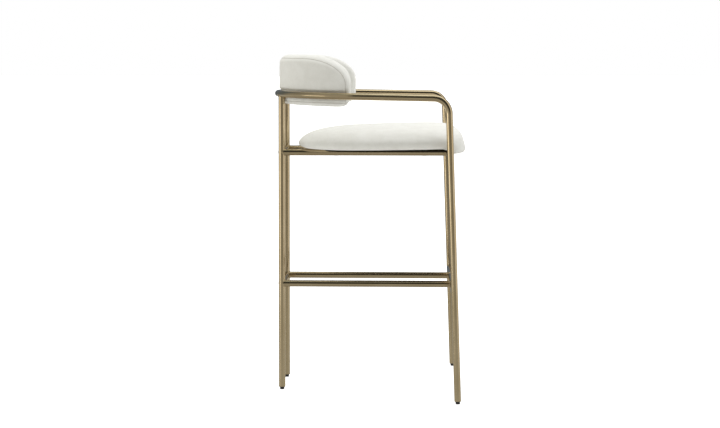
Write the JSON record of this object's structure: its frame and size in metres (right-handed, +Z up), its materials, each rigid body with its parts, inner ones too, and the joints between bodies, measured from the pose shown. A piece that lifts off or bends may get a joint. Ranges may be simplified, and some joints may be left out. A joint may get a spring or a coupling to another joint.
{
  "type": "bar stool with footrest",
  "caption": "Bar-height stool with a bent round-tube frame, open arms, a wrap-around upholstered back pad, a domed upholstered seat and a fixed tube footrest.",
  "frame": {"origin": "centre of the footprint box, on the floor", "axes": "+Z up, the sitter faces -Y, +X is the sitter's left"},
  "size_m": [0.5578, 0.547, 0.9597],
  "materials": {
    "tube": "satin, pale antique brass plating",
    "glide": "matte",
    "cover": "fine plain weave, cream",
    "foam": "open-cell foam, hidden",
    "board": "plywood, hidden",
    "dust_cloth": "black non-woven cloth",
    "saddle": "matte",
    "plug": "plain, hidden inside the tube",
    "fastener": "zinc plated"
  },
  "bodies": {
    "root": {"back_rail": "tube", "left_arm_and_leg": "tube", "right_arm_and_leg": "tube", "left_joint_plug": "plug", "right_joint_plug": "plug", "left_rear_leg": "tube", "right_rear_leg": "tube", "left_seat_rail": "tube", "right_seat_rail": "tube", "front_seat_rail": "tube", "rear_seat_rail": "tube", "left_foot_rail": "tube", "right_foot_rail": "tube", "front_foot_rail": "tube", "rear_foot_rail": "tube", "front_left_glide": "glide", "front_right_glide": "glide", "rear_left_glide": "glide", "rear_right_glide": "glide", "seat_board": "board", "seat_foam": "foam", "seat_cover": "cover", "seat_dust_cloth": "dust_cloth", "front_saddle_pads": "saddle", "rear_saddle_pads": "saddle", "seat_screws": "fastener", "seat_tee_nuts": "fastener", "back_board": "board", "back_front_foam": "foam", "back_rear_foam": "foam", "back_front_cover": "cover", "back_rear_cover": "cover", "back_screws": "fastener", "back_tee_nuts": "fastener"}
  },
  "joints": []
}
